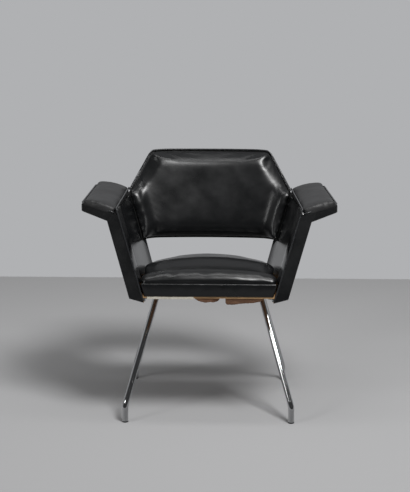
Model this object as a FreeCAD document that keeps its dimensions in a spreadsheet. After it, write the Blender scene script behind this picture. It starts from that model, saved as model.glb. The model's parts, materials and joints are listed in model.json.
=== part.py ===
import FreeCAD, Part
import math
import os
import Sketcher

Vector = FreeCAD.Vector

# An upholstered tub armchair on four splayed tube legs.
# X is to the side, Y to the rear and Z up. The origin is on the floor, midway between the front of
# the shell and the back of the backrest. Lengths are in millimetres and angles in degrees.
# Each right-hand piece is modelled, and its left-hand twin is its mirror image.

driving_sizes = {
    # tub shell
    "shell_front": 265,
    "shell_back": 268,
    "shell_half_width": 229,
    "side_lean": 17,
    "side_toe": 5.5,
    "side_bottom_slope": 15,
    "front_rake": 7.7,
    "corner_radius": 80,
    "bow_radius": 1100,
    "window_sweep": 26,
    "ply_thickness": 8,
    "skin_thickness": 1.5,
    "facing_thickness": 2,
    "piping_radius": 2.4,
    "soft_gap": 0.3,
    "seam_gap": 0.6,
    "mitre_gap": 1,
    # bolster inside the front of each side
    "bolster_thickness": 27,
    "bolster_length": 185,
    "bolster_flat": 60,
    # arms
    "arm_joint_rise": 219,
    "arm_rise": 17,
    "arm_climb": 2.9,
    "arm_tip_half_width": 371,
    "arm_tip_toe": 1.7,
    "arm_front_sweep": 19,
    "arm_rear": 127,
    "arm_inner_rise": 35,
    "arm_tip_height": 33.3,
    "arm_tip_fall": 0.9,
    "arm_crown": 6,
    "arm_corner_radius": 14,
    "arm_tip_chamfer": 9,
    "arm_seam_drop": 12.5,
    # backrest
    "back_top_rise": 383,
    "back_bottom_rise": 106,
    "back_recline": 15,
    "back_top_half_width": 189,
    "back_side_slope": 61,
    "back_corner_round": 26,
    "back_pad_thickness": 30,
    "back_pad_edge": 9,
    "back_pad_roll": 34,
    "back_pad_crown": 2,
    "strap_thickness": 2,
    "strap_reach": 45,
    "strap_height": 90,
    "strap_middle_rise": 180,
    # seat
    "board_height": 380,
    "board_thickness": 12,
    "board_setback": 6,
    "board_rear": 112,
    "cushion_thickness": 49,
    "cushion_crown": 17,
    "cushion_rear_drop": 23,
    "cushion_rear": 128,
    "cushion_half_width": 200.5,
    "cushion_rear_half_width": 181,
    "cushion_lip": 6,
    "cover_thickness": 2,
    "rail_front_thickness": 27,
    "rail_rear_thickness": 14.5,
    "dust_cover_thickness": 1,
    "tack_strip_width": 12,
    "tack_strip_thickness": 1.5,
    "tack_strip_fold": 7,
    # legs
    "tube_radius": 9,
    "tube_wall": 1.5,
    "tube_bend_radius": 45,
    "upright_foot": 36,
    "foot_half_width": 245,
    "front_foot": 235,
    "rear_foot": 219,
    "leg_top_half_width": 150,
    "front_leg_top": 32,
    "rear_leg_top": 78,
    "glide_height": 4,
    "glide_stem": 16,
    "glide_gap": 0.1,
    "plate_thickness": 4,
    "plate_front": 72,
    "plate_rear": 118,
    "plate_width": 50,
    "plate_margin": 10,
    # fasteners
    "screw_radius": 2.5,
    "screw_head_radius": 4.5,
    "screw_head_height": 2.4,
    "hole_gap": 0.1,
    "bolt_radius": 3,
    "bolt_head_radius": 5,
    "bolt_head_height": 3,
    "nut_flange_radius": 6,
    "nut_flange_thickness": 1.2,
    "nut_barrel_wall": 1.5,
    "nut_barrel_length": 4,
    "nut_setback": 2,
    "bracket_foot": 18,
    "bracket_width": 24,
    "bracket_thickness": 1.5,
    "bracket_drop": 10,
    "bracket_gap": 0.6,
    "bracket_screw_length": 8,
    "tack_radius": 3,
    "tack_head_height": 0.8,
    "tack_shank_radius": 0.8,
    "tack_length": 8,
}

document = FreeCAD.newDocument("Armchair")
sheet = document.addObject("Spreadsheet::Sheet", "Sizes")
for row, (alias, value) in enumerate(driving_sizes.items(), 1):
    sheet.set("A%d" % row, alias)
    sheet.set("B%d" % row, str(value))
    sheet.setAlias("B%d" % row, alias)
document.recompute()

pieces = []


def size(alias):
    return float(sheet.get(alias))


def above_board(alias):
    return size("board_height") + size(alias)


def slope(alias):
    return math.tan(math.radians(size(alias)))


def largest(shape):
    return max(shape.Solids, key=lambda solid: solid.Volume)


def add_single(label, shape):
    piece = document.addObject("Part::Feature", label)
    piece.Label = label
    piece.Shape = shape.Solids[0] if len(shape.Solids) == 1 else shape
    piece.Placement = FreeCAD.Placement()
    pieces.append(piece)
    return piece


def add_mirror(right):
    left = document.addObject("Part::Mirroring", right.Name.replace("right", "left"))
    left.Label = right.Label.replace("right", "left")
    left.Source = right
    left.Normal = Vector(1, 0, 0)
    pieces.append(left)


def add_pair(label, shape):
    add_mirror(add_single(label + "_right", shape))


def polygon(points):
    return Part.makePolygon(points + points[:1])


def prism(points, travel):
    return Part.Face(polygon(points)).extrude(travel)


def loft(wires):
    return Part.makeLoft(wires, True, True)


def chain(*curves):
    # each curve is two points for a line or three for an arc
    edges = []
    for points in curves:
        curve = Part.Arc(*points) if len(points) == 3 else Part.LineSegment(*points)
        edges.append(curve.toShape())
    return Part.Wire(edges)


def mirrored(point):
    return Vector(-point.x, point.y, point.z)


def cord_along(points, reach):
    # piping in straight runs joined by tangent arcs, each of which starts a reach before its point
    # or nearly halfway along the shorter run
    edges = []
    start = points[0]
    for before, point, after in zip(points, points[1:], points[2:]):
        back, on = (before - point).normalize(), (after - point).normalize()
        shorter = min((before - point).Length, (after - point).Length)
        cut = min(reach, 0.45 * shorter)
        half_angle = back.getAngle(on) / 2
        inward = (back + on).normalize()
        nearest = cut / math.cos(half_angle) - cut * math.tan(half_angle)
        arc = (point + back * cut, point + inward * nearest, point + on * cut)
        edges.append(Part.LineSegment(start, arc[0]).toShape())
        edges.append(Part.Arc(*arc).toShape())
        start = arc[2]
    edges.append(Part.LineSegment(start, points[-1]).toShape())
    ring = Part.Circle(points[0], points[1] - points[0], size("piping_radius"))
    return Part.Wire(edges).makePipeShell([Part.Wire([ring.toShape()])], True, False)


def pin(seat, direction, radius, length):
    return Part.makeCylinder(radius, length, seat, direction)


def pan_screw(seat, direction, length):
    # the head stands on the seat and the shank goes along the direction
    wide = size("screw_head_radius")
    head = Part.makeCone(wide, wide * 0.7, size("screw_head_height"), seat, -direction)
    return head.fuse(pin(seat, direction, size("screw_radius"), length))


def flat_screw(seat, direction, length, gap=0.0):
    # the head is sunk flush with the seat, and a gap makes the hole for it
    narrow = size("screw_radius") + gap
    head = Part.makeCone(size("screw_head_radius") + gap, narrow, size("strap_thickness"), seat, direction)
    return head.fuse(pin(seat, direction, narrow, length + gap))


def screw_hole(seat, direction, length):
    gap = size("hole_gap")
    return pin(seat - direction * gap, direction, size("screw_radius") + gap, length + 2 * gap)


# Plan of the tub. Seen from above, at any height, its outer face is a straight side that leans out
# and toes in, an arc round the rear corner and a shallow arc across the back. An inset, which is a
# depth square to the wall, moves all three inwards alike.

toe = math.radians(size("side_toe"))
along_side = Vector(-math.sin(toe), math.cos(toe), 0)
into_side = Vector(-math.cos(toe), -math.sin(toe), 0)
out_of_side = Vector(1, slope("side_toe"), -slope("side_lean")).normalize()
# a leaning wall is thicker in a level cut than it is square to its face
level_factor = 1 / -out_of_side.dot(into_side)

ply_outside = size("skin_thickness")
ply_inside = ply_outside + size("ply_thickness")
lining_inside = ply_inside + size("skin_thickness")
bolster_inside = ply_inside + size("bolster_thickness")


def side_x(y, height, inset=0.0):
    front_x = size("shell_half_width") + (height - size("board_height")) * slope("side_lean")
    outer_x = front_x - (y + size("shell_front")) * slope("side_toe")
    return outer_x - inset * level_factor / math.cos(toe)


def side_point(y, height, inset):
    return Vector(side_x(y, height, inset), y, height)


def front_y(height):
    return -size("shell_front") + (height - size("board_height")) * slope("front_rake")


def bow_centre(height):
    rear_y = size("shell_back") - (above_board("back_top_rise") - height) * slope("back_recline")
    return Vector(0, rear_y - size("bow_radius"), height)


def corner_centre(height):
    # the corner's arc touches the side's line and the back's arc from within
    centre = bow_centre(height)
    start = side_point(-size("shell_front"), height, 0) + into_side * size("corner_radius")
    offset = start - centre
    reach = size("bow_radius") - size("corner_radius")
    half = offset.dot(along_side)
    return start + along_side * (math.sqrt(half**2 - offset.dot(offset) + reach**2) - half)


def corner_point(height, inset, sweep):
    # the sweep is the angle round the corner, from 0 where the side ends
    angle = toe + math.radians(sweep)
    radius = size("corner_radius") - inset * level_factor
    return corner_centre(height) + Vector(math.cos(angle), math.sin(angle), 0) * radius


def full_sweep(height):
    centre, far_centre = corner_centre(height), bow_centre(height)
    return math.degrees(math.atan2(centre.y - far_centre.y, centre.x) - toe)


def back_y(x, height, inset):
    if abs(x) < corner_point(height, inset, full_sweep(height)).x:
        radius = size("bow_radius") - inset * level_factor
        return bow_centre(height).y + math.sqrt(radius**2 - x**2)
    centre = corner_centre(height)
    radius = size("corner_radius") - inset * level_factor
    reach = min(abs(x) - centre.x, radius)
    return centre.y + math.sqrt(radius**2 - reach**2)


def arc_points(height, inset, start_sweep, end_sweep):
    steps = (start_sweep, (start_sweep + end_sweep) / 2, end_sweep)
    return [corner_point(height, inset, sweep) for sweep in steps]


def wall_round_corner(height, outer_inset, inner_inset, start_y, sweep):
    # level section of a wall that runs from start_y along the side and part of the way round the corner
    outer = arc_points(height, outer_inset, 0, sweep)
    inner = arc_points(height, inner_inset, 0, sweep)
    outer_start = side_point(start_y, height, outer_inset)
    inner_start = side_point(start_y, height, inner_inset)
    return chain(
        (outer_start, outer[0]), outer, (outer[2], inner[2]),
        inner[::-1], (inner[0], inner_start), (inner_start, outer_start),
    )


def wall_to_seam(height, outer_inset, inner_inset, start_y):
    # level section of a wall that stops just short of where the corner begins
    short = along_side * size("seam_gap")
    return polygon([
        side_point(start_y, height, outer_inset),
        corner_point(height, outer_inset, 0) - short,
        corner_point(height, inner_inset, 0) - short,
        side_point(start_y, height, inner_inset),
    ])


def wall_across_back(height, outer_inset, inner_inset):
    # level section of a wall from one seam round the back to the other
    curves = []
    for inset in (outer_inset, inner_inset):
        corner = arc_points(height, inset, 0, full_sweep(height))
        far_corner = [mirrored(point) for point in corner[::-1]]
        middle = Vector(0, back_y(0, height, inset), height)
        curves.append([corner, (corner[2], middle, far_corner[0]), far_corner])
    outer, inner = curves
    back_again = [curve[::-1] for curve in inner[::-1]]
    return chain(
        *outer, (outer[2][2], inner[2][2]),
        *back_again, (inner[0][0], outer[0][0]),
    )


def joint_height(y):
    # the outer line where the arm leaves the side climbs to the rear
    return above_board("arm_joint_rise") + (y + size("shell_front")) * slope("arm_climb")


beyond = 60
far_front = -size("shell_front") - beyond
low_cut = size("board_height") - beyond
high_cut = joint_height(size("shell_back")) + beyond
arm_ends = (far_front, size("arm_rear") + beyond)
top_overlap = 2
clear_width = size("arm_tip_half_width") + beyond


def behind_front(front_cut):
    # everything behind the raked front plane
    return prism([
        Vector(0, front_y(low_cut) + front_cut, low_cut),
        Vector(0, size("shell_back"), low_cut),
        Vector(0, size("shell_back"), high_cut),
        Vector(0, front_y(high_cut) + front_cut, high_cut),
    ], Vector(clear_width, 0, 0))


def side_trim(front_cut, arm_rise, rear_rise):
    # keeps what lies behind the raked front, below the climbing top and above the bottom, which
    # slopes down to the inside; the top steps up behind the arm
    rear = size("shell_back")
    arm_end = size("arm_rear")
    under_arm = prism([
        Vector(0, far_front, low_cut),
        Vector(0, rear, low_cut),
        Vector(0, rear, joint_height(rear) + rear_rise),
        Vector(0, arm_end, joint_height(arm_end) + rear_rise),
        Vector(0, arm_end, joint_height(arm_end) + arm_rise),
        Vector(0, far_front, joint_height(far_front) + arm_rise),
    ], Vector(clear_width, 0, 0))
    foot = side_point(-size("shell_front"), size("board_height") - 1, 0)
    across = Vector(1, 0, slope("side_bottom_slope")) * (2 * beyond)
    starts = [foot - along_side * 4 * beyond - across, foot - along_side * 4 * beyond + across]
    ends = [point + along_side * 16 * beyond for point in starts[::-1]]
    below = prism(starts + ends, Vector(0, 0, -4 * beyond))
    return behind_front(front_cut).common(under_arm).cut(below)


def side_layer(outer_inset, inner_inset, front_cut, sweep, arm_rise, rear_rise):
    # below the bottom of the back the wall runs on into the corner, above it stops at the seam
    split = above_board("back_bottom_rise")
    lower = loft([
        wall_round_corner(height, outer_inset, inner_inset, far_front, sweep)
        for height in (low_cut, split)
    ])
    upper = loft([
        wall_to_seam(height, outer_inset, inner_inset, far_front) for height in (split, high_cut)
    ])
    return lower.fuse(upper).removeSplitter().common(side_trim(front_cut, arm_rise, rear_rise))


# Sections of the arm in X and Z, at one y.

rise = math.radians(size("arm_rise"))
wing_out = Vector(math.cos(rise), 0, math.sin(rise))
wing_up = Vector(-math.sin(rise), 0, math.cos(rise))


def tip_x(y):
    front = front_y(above_board("arm_joint_rise"))
    return size("arm_tip_half_width") - (y - front) * slope("arm_tip_toe")


def wing_start(y, depth):
    return side_point(y, joint_height(y), 0) + wing_up * depth


def on_wing(y, depth, x):
    start = wing_start(y, depth)
    return start + wing_out * ((x - start.x) / wing_out.x)


def wing_bend(y, depth, inset):
    # where a layer of the wing meets a layer of the side
    start = wing_start(y, depth)
    gap = side_x(y, start.z, inset) - start.x
    return start + wing_out * (gap / (wing_out.x - wing_out.z * slope("side_lean")))


def arm_inner_top(y):
    height = joint_height(y) + size("arm_inner_rise")
    run = (y + size("shell_front")) / (size("arm_rear") + size("shell_front"))
    rear_inset = ply_inside + size("rail_rear_thickness") / 2
    return side_point(y, height, bolster_inside + (rear_inset - bolster_inside) * run)


def arm_outer_top(y):
    # the tip's height is measured from the underside of the wing
    fall = (y - front_y(above_board("arm_joint_rise"))) * slope("arm_tip_fall")
    height = on_wing(y, 0, tip_x(y)).z + size("arm_tip_height") - fall
    return Vector(tip_x(y) - size("arm_tip_chamfer"), y, height)


def seam_inner(y):
    return arm_inner_top(y) - Vector(0, 0, size("arm_seam_drop"))


def seam_outer(y):
    return Vector(tip_x(y), y, arm_outer_top(y).z - size("arm_seam_drop"))


def wing_section(y, low_depth, high_depth, outer_inset, inner_inset, tip_cut):
    leg_height = joint_height(y) - 4 * top_overlap
    return polygon([
        side_point(y, leg_height, outer_inset),
        wing_bend(y, low_depth, outer_inset),
        on_wing(y, low_depth, tip_x(y) - tip_cut),
        on_wing(y, high_depth, tip_x(y) - tip_cut),
        wing_bend(y, high_depth, inner_inset),
        side_point(y, leg_height, inner_inset),
    ])


under_cord = Vector(0, 0, size("piping_radius") + size("soft_gap"))


def tip_section(y):
    # the skin over the arm's outer edge, up to the piping
    thin = Vector(ply_outside, 0, 0)
    skin_top = seam_outer(y) - under_cord
    return polygon([
        on_wing(y, 0, tip_x(y)), skin_top, skin_top - thin, on_wing(y, 0, tip_x(y) - ply_outside),
    ])


def front_band_section(y):
    # the facing over the front of the arm, up to the piping
    leg_height = joint_height(y) - 4 * top_overlap
    return polygon([
        side_point(y, leg_height, 0), wing_bend(y, 0, 0), on_wing(y, 0, tip_x(y)),
        seam_outer(y) - under_cord, seam_inner(y) - under_cord, side_point(y, leg_height, bolster_inside),
    ])


def arm_pad_section(y, cover, drop):
    # the pad lies on the wing and its inner face drops to the bolster on a mitre; a cover draws it in
    # and a drop carries it through the wing
    mitre = wing_bend(y, ply_inside, ply_inside)
    tip_foot = on_wing(y, ply_inside, tip_x(y) - ply_outside - cover)
    inner_top = arm_inner_top(y)
    inner_top += (mitre - inner_top).normalize() * cover * 1.2
    outer_top = arm_outer_top(y) - (wing_out + wing_up) * cover
    crest = (inner_top + outer_top) * 0.5 + wing_up * size("arm_crown")
    shoulder = (tip_foot + outer_top) * 0.5 + wing_out * size("arm_crown") / 3
    lower_mitre = mitre - wing_up * drop
    lower_tip = tip_foot - wing_up * drop
    if not drop:
        return chain(
            (mitre, tip_foot), (tip_foot, shoulder, outer_top),
            (outer_top, crest, inner_top), (inner_top, mitre),
        )
    return chain(
        (lower_mitre, lower_tip), (lower_tip, tip_foot), (tip_foot, shoulder, outer_top),
        (outer_top, crest, inner_top), (inner_top, mitre), (mitre, lower_mitre),
    )


def arm_room_section(y):
    # everything above the mitre, which the bolster and lining leave to the arm
    mitre = wing_bend(y, ply_inside, ply_inside) - wing_up * size("mitre_gap")
    inner_top = arm_inner_top(y) - wing_up * size("mitre_gap")
    high = inner_top + (inner_top - mitre)
    ceiling = high_cut + 2 * beyond
    return polygon([
        mitre, high, Vector(high.x, y, ceiling),
        Vector(clear_width, y, ceiling), Vector(clear_width, y, mitre.z),
    ])


def arm_plan(front_cut, rear_cut):
    # the arm seen from above, with a swept front and rounded outer corners
    joint_x = side_x(-size("shell_front"), above_board("arm_joint_rise"))
    joint_y = front_y(above_board("arm_joint_rise")) + front_cut
    inner_x = joint_x / 2
    rear = size("arm_rear") - rear_cut
    base = above_board("arm_joint_rise") - beyond
    block = prism([
        Vector(inner_x, joint_y + (inner_x - joint_x) * slope("arm_front_sweep"), base),
        Vector(clear_width, joint_y + (clear_width - joint_x) * slope("arm_front_sweep"), base),
        Vector(clear_width, rear, base),
        Vector(inner_x, rear, base),
    ], Vector(0, 0, 4 * beyond))
    rounding = size("arm_corner_radius") - front_cut
    beside_tip = prism([
        Vector(tip_x(far_front) - rear_cut, far_front, base),
        Vector(clear_width + beyond, far_front, base),
        Vector(clear_width + beyond, size("shell_back"), base),
        Vector(tip_x(size("shell_back")) - rear_cut, size("shell_back"), base),
    ], Vector(0, 0, 4 * beyond))
    block = block.cut(beside_tip)
    outer_edges = [
        edge for edge in block.Edges
        if edge.Length > 3 * beyond and edge.CenterOfMass.x > joint_x
        and abs(edge.tangentAt(edge.FirstParameter).z) > 0.9
    ]
    return block.makeFillet(rounding, outer_edges)


facing = size("facing_thickness")
thin_cover = size("cover_thickness")
arm_body = arm_plan(facing, 0).common(behind_front(facing))
arm_front = arm_plan(0, 0).common(behind_front(0)).cut(arm_body)
arm_core = arm_plan(facing + thin_cover, thin_cover).common(behind_front(facing + thin_cover))
arm_room = loft([arm_room_section(y) for y in arm_ends])

# Straps across the rear seams, let into the wood, with four screws each.

strap_low = above_board("strap_middle_rise") - size("strap_height") / 2
strap_high = above_board("strap_middle_rise") + size("strap_height") / 2
strap_turn = math.degrees(size("strap_reach") / size("corner_radius"))


def strap_section(height):
    # half of the strap lies on the side and half goes round the corner
    start = corner_point(height, 0, 0) - along_side * size("strap_reach")
    return wall_round_corner(height, ply_inside - size("strap_thickness"), ply_inside, start.y, strap_turn)


strap = loft([strap_section(strap_low), strap_section(strap_high)])
strap_screw_length = size("ply_thickness") - 1
strap_screws = []
strap_holes = []
for height in (strap_low + size("strap_height") / 4, strap_high - size("strap_height") / 4):
    on_side = corner_point(height, ply_inside, 0) - along_side * size("strap_reach") / 2
    on_corner = corner_point(height, ply_inside, strap_turn / 2)
    round_corner = (on_corner - corner_centre(height)).normalize()
    for seat, way in ((on_side, out_of_side), (on_corner, round_corner)):
        strap_screws.append(flat_screw(seat, way, strap_screw_length))
        strap_holes.append(flat_screw(seat, way, strap_screw_length, size("hole_gap")))

# Rails, and the bolts and tee nuts that hold the sides to them.


def rail_inside(y):
    run = (y + size("shell_front")) / (size("board_rear") + size("shell_front"))
    change = size("rail_rear_thickness") - size("rail_front_thickness")
    return ply_inside + size("rail_front_thickness") + change * run


side_bolts = []
tee_nuts = []
bolt_holes = []
nut_rooms = []
bolt_height = size("board_height") + size("board_thickness") / 2
bolt_spacing = (size("board_rear") + size("shell_front")) / 4
clear_radius = size("bolt_radius") + size("hole_gap")
level_out = -into_side
head_depth = size("bolt_head_height") + 1
for turn in (1, 2, 3):
    y = -size("shell_front") + turn * bolt_spacing
    inner_face = side_point(y, bolt_height, rail_inside(y))
    head_seat = inner_face + level_out * (head_depth + 1)
    through = (side_point(y, bolt_height, ply_outside) - head_seat).dot(out_of_side)
    through = through / level_out.dot(out_of_side) - size("nut_setback")
    nut_seat = head_seat + level_out * through
    reach = through - size("soft_gap")
    shank = pin(head_seat, level_out, size("bolt_radius"), reach)
    head = pin(head_seat, -level_out, size("bolt_head_radius"), size("bolt_head_height"))
    side_bolts.append(shank.fuse(head))
    head_room = pin(head_seat, -level_out, size("bolt_head_radius") + size("hole_gap"), 3 * head_depth)
    bolt_holes.append(pin(head_seat, level_out, clear_radius, reach + 0.3).fuse(head_room))
    flange = pin(nut_seat, -level_out, size("nut_flange_radius"), size("nut_flange_thickness"))
    barrel_radius = clear_radius + size("nut_barrel_wall")
    barrel = pin(nut_seat, -level_out, barrel_radius, size("nut_barrel_length"))
    bore = pin(nut_seat + level_out, -level_out, clear_radius, size("nut_barrel_length") + 2)
    tee_nuts.append(flange.fuse(barrel).cut(bore))
    nut_rooms.append(flange.fuse(barrel))

# The sides, from the outside in.

window = size("window_sweep")
skin_wing = loft([wing_section(y, 0, ply_outside, 0, ply_outside, 0) for y in arm_ends])
tip_skin = loft([tip_section(y) for y in arm_ends])
arm_skin = skin_wing.fuse(tip_skin).common(arm_body)
side_skin = side_layer(0, ply_outside, facing, window, -top_overlap, top_overlap)
add_pair("side_cover", side_skin.fuse(arm_skin).removeSplitter())

ply_wing = loft([
    wing_section(y, ply_outside, ply_inside, ply_outside, ply_inside, ply_outside) for y in arm_ends
]).common(arm_body)
ply_side = side_layer(ply_outside, ply_inside, facing, window, -top_overlap, top_overlap)
ply_side = ply_side.fuse(ply_wing).removeSplitter()
add_pair("side_shell", ply_side.cut(bolt_holes + nut_rooms + strap_holes + [strap]))
add_pair("side_bolts", Part.makeCompound(side_bolts))
add_pair("tee_nuts", Part.makeCompound(tee_nuts))
add_pair("back_strap", strap.cut(strap_holes))

rail_top = size("board_height") + size("board_thickness")
rail_rear = size("board_rear")
rail = loft([
    polygon([
        side_point(far_front, height, ply_inside),
        side_point(rail_rear, height, ply_inside),
        side_point(rail_rear, height, rail_inside(rail_rear)),
        side_point(far_front, height, rail_inside(far_front)),
    ])
    for height in (low_cut, rail_top)
]).common(side_trim(facing, 0, 0))
rail = largest(rail.cut(ply_side))


def bolster_face(height, full_inset, end_inset):
    # full behind the front, then an easy curve down to the lining, from the rear forwards
    flat_y = front_y(height) + size("bolster_flat")
    end_y = front_y(height) + size("bolster_length")
    halfway = side_point((flat_y + end_y) / 2, height, (full_inset * 2 + end_inset * 3) / 5)
    full = side_point(flat_y, height, full_inset)
    return (side_point(end_y, height, end_inset), halfway, full), side_point(far_front, height, full_inset)


def bolster_section(height, outer, inner):
    # the outer and inner faces are each a pair of insets, full and at the end
    (outer_curve, outer_front), (inner_curve, inner_front) = (
        bolster_face(height, *outer), bolster_face(height, *inner),
    )
    return chain(
        (outer_front, outer_curve[2]), outer_curve[::-1], (outer_curve[0], inner_curve[0]),
        inner_curve, (inner_curve[2], inner_front), (inner_front, outer_front),
    )


def bolster_core_section(height, full_inset, end_inset):
    curve, front = bolster_face(height, full_inset, end_inset)
    wood_front = side_point(far_front, height, ply_inside)
    wood_end = side_point(curve[0].y, height, ply_inside)
    return chain(
        (wood_front, wood_end), (wood_end, curve[0]), curve, (curve[2], front), (front, wood_front),
    )


skin = size("skin_thickness")
bolster_heights = (rail_top + size("soft_gap"), high_cut)
face_insets = (bolster_inside, lining_inside)
core_insets = (bolster_inside - skin, lining_inside - skin * 0.8)
bolster_cover = loft([bolster_section(height, core_insets, face_insets) for height in bolster_heights])
bolster_cover = bolster_cover.common(behind_front(facing)).cut(arm_room)
bolster_core = loft([bolster_core_section(height, *core_insets) for height in bolster_heights])
side_foam = bolster_core.common(behind_front(facing)).cut(arm_room)
lining_start = size("bolster_length") + size("soft_gap")
lining = side_layer(ply_inside, lining_inside, facing, window, ply_inside, ply_inside)
lining = lining.cut([rail, arm_room])
lining = lining.common(behind_front(lining_start))

cord = size("piping_radius")
cord_foot_height = size("board_height") - 8
corner_height = joint_height(-size("shell_front")) + size("arm_inner_rise")
front_foot = side_point(front_y(cord_foot_height), cord_foot_height, bolster_inside)
front_corner = arm_inner_top(front_y(corner_height))
rear_corner = arm_inner_top(size("arm_rear") - cord)
side_piping = cord_along([front_foot, front_corner, rear_corner], 3 * cord)

corner = size("arm_corner_radius")
sweep_start = front_y(above_board("arm_joint_rise"))
swept = (tip_x(sweep_start) - front_corner.x) * slope("arm_front_sweep")
front_tip_y = sweep_start + swept
rear_y = size("arm_rear")
inner_end = seam_inner(sweep_start)
outer_end = seam_outer(front_tip_y)
before_corner = outer_end - (outer_end - inner_end).normalize() * corner
before_corner.y = front_tip_y - corner * slope("arm_front_sweep")
rear_inward = (seam_inner(rear_y) - seam_outer(rear_y)).normalize()
clear_of_cord = (outer_end - inner_end).normalize() * (cord * 2.2)
armrest_piping = cord_along([
    inner_end + clear_of_cord, before_corner,
    seam_outer(front_tip_y + corner) - Vector(0.5, 0, 0), seam_outer(rear_y - corner),
    seam_outer(rear_y) + rear_inward * corner, seam_inner(rear_y) - rear_inward * (cord * 2.2),
], 3 * cord)

lower_band = loft([
    wall_to_seam(height, 0, bolster_inside, far_front) for height in (low_cut, high_cut)
]).common(side_trim(0, -top_overlap, -top_overlap)).cut(behind_front(facing))
arm_band = loft([front_band_section(y) for y in arm_ends]).common(arm_front)
front_facing = lower_band.fuse(arm_band).removeSplitter()
add_pair("side_foam", side_foam.cut(side_piping))
add_pair("bolster_cover", bolster_cover.cut(side_piping))
add_pair("side_lining", lining.cut(side_piping))
add_pair("front_facing", largest(front_facing.cut(side_piping)))
add_pair("side_piping", side_piping)

arm_pad = loft([arm_pad_section(y, 0, 0) for y in arm_ends]).common(arm_body)
arm_foam = loft([arm_pad_section(y, thin_cover, 0) for y in arm_ends]).common(arm_core)
arm_hollow = loft([arm_pad_section(y, thin_cover, ply_inside) for y in arm_ends]).common(arm_core)
add_pair("armrest_foam", arm_foam.cut(side_piping).cut(armrest_piping))
armrest_cover = arm_pad.cut(arm_hollow).cut(tip_skin)
for piping in (side_piping, armrest_piping):
    armrest_cover = armrest_cover.cut(piping)
add_pair("armrest_cover", armrest_cover)
add_pair("armrest_piping", armrest_piping)

# The back: a bowed panel of wood between the two rear seams, its rear cover and its padded front.

back_top = above_board("back_top_rise")
back_low = above_board("back_bottom_rise")
slant_run = 1 / slope("back_side_slope")
round_radius = size("back_corner_round")


def outline_x(height):
    # half width inside the slanted edges and the rounded top corners
    slanted = size("back_top_half_width") + (back_top - height) * slant_run
    side_angle = math.radians(size("back_side_slope"))
    low = back_top - round_radius * (1 - math.cos(side_angle))
    if height < low:
        return slanted
    centre_x = size("back_top_half_width") - round_radius * math.tan(side_angle / 2)
    drop = height - (back_top - round_radius)
    return centre_x + math.sqrt(max(round_radius**2 - drop**2, 0))


def back_panel(outer_inset, inner_inset, margin):
    # the margin draws the outline in, but for the seams
    low, high = back_low - 10, back_top + 10
    wall = loft([wall_across_back(height, outer_inset, inner_inset) for height in (low, high)])
    top, bottom = back_top - margin, back_low + margin
    slant_margin = margin / math.sin(math.radians(size("back_side_slope")))
    half_top = size("back_top_half_width") + margin * slant_run - slant_margin
    half_bottom = half_top + (top - bottom) * slant_run
    outline = prism([
        Vector(-half_top, 0, top), Vector(half_top, 0, top),
        Vector(half_bottom, 0, bottom), Vector(-half_bottom, 0, bottom),
    ], Vector(0, size("shell_back") + beyond, 0))
    corners = [
        edge for edge in outline.Edges
        if edge.CenterOfMass.z > top - 1 and abs(edge.CenterOfMass.x) > half_top - 1
    ]
    return wall.common(outline.makeFillet(round_radius - margin, corners))


def bow_half_run(height):
    angle = math.radians(90 - full_sweep(height)) - toe
    return angle * size("bow_radius")


def back_point(run, height, inset):
    # the run is measured round the back from its middle
    half = bow_half_run(height)
    over = abs(run) - half
    if over > 0:
        sweep = full_sweep(height) - math.degrees(over / size("corner_radius"))
        point = corner_point(height, inset, sweep)
        return point if run > 0 else mirrored(point)
    angle = run / size("bow_radius")
    radius = size("bow_radius") - inset * level_factor
    return bow_centre(height) + Vector(math.sin(angle), math.cos(angle), 0) * radius


def edge_run(height):
    # how far round the back the seam or the slanted edge is, whichever comes first
    half = bow_half_run(height)
    centre = corner_centre(height)
    radius = size("corner_radius") - ply_inside * level_factor
    across = (outline_x(height) - centre.x) / radius
    seam = half + math.radians(full_sweep(height)) * size("corner_radius")
    if across >= math.cos(toe):
        return seam - 1
    angle = math.acos(across) - toe
    turn = math.radians(full_sweep(height)) - angle
    if turn > 0:
        return min(half + turn * size("corner_radius"), seam - 1)
    radius = size("bow_radius") - ply_inside * level_factor
    return math.asin(outline_x(height) / radius) * size("bow_radius")


def pad_depth(run, height):
    edge = min(edge_run(height) - abs(run), height - back_low, back_top - height)
    roll = math.sin(math.pi / 2 * min(max(edge / size("back_pad_roll"), 0), 1))
    crown = size("back_pad_crown") * (1 - (run / edge_run(height))**2) * roll
    return size("back_pad_edge") + (size("back_pad_thickness") - size("back_pad_edge")) * roll + crown


def shoulder_height():
    # where the slanted edge of the panel meets the rear seam
    low, high = back_low, back_top - size("back_corner_round")
    for turn in range(30):
        middle = (low + high) / 2
        if outline_x(middle) > corner_point(middle, ply_inside, 0).x:
            low = middle
        else:
            high = middle
    return high


def pad_wire(height, reach, rear_of, front_of):
    # level section of the pad: an arc across the middle, an arc round each corner and a rolled edge
    rolled = reach - size("back_pad_roll")
    middle = min(bow_half_run(height), rolled - 20)
    stations = (-reach, -rolled, -middle, middle, rolled, reach)
    faces = []
    for depth_of in (front_of, rear_of):
        curves = []
        for start, end in zip(stations, stations[1:]):
            runs = (start, (start + end) / 2, end)
            curves.append([back_point(run, height, depth_of(run, height)) for run in runs])
        faces.append(curves)
    front, rear = faces
    back_again = [curve[::-1] for curve in rear[::-1]]
    return chain(
        *front, (front[-1][2], rear[-1][2]),
        *back_again, (rear[0][0], front[0][0]),
    )


def pad_block(margin, rear_of, front_of):
    roll = size("back_pad_roll")
    steps = [roll * part for part in (0, 0.12, 0.35, 0.65, 1)]
    shoulder = shoulder_height()
    low, high = back_low + margin, back_top - margin
    heights = [low + step for step in steps] + [shoulder]
    heights += [shoulder + (high - roll - shoulder) * part for part in (0.15, 0.35, 0.65)]
    heights += [high - step for step in steps[::-1]]
    return loft([
        pad_wire(height, edge_run(height) - margin, rear_of, front_of) for height in heights
    ])


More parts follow.
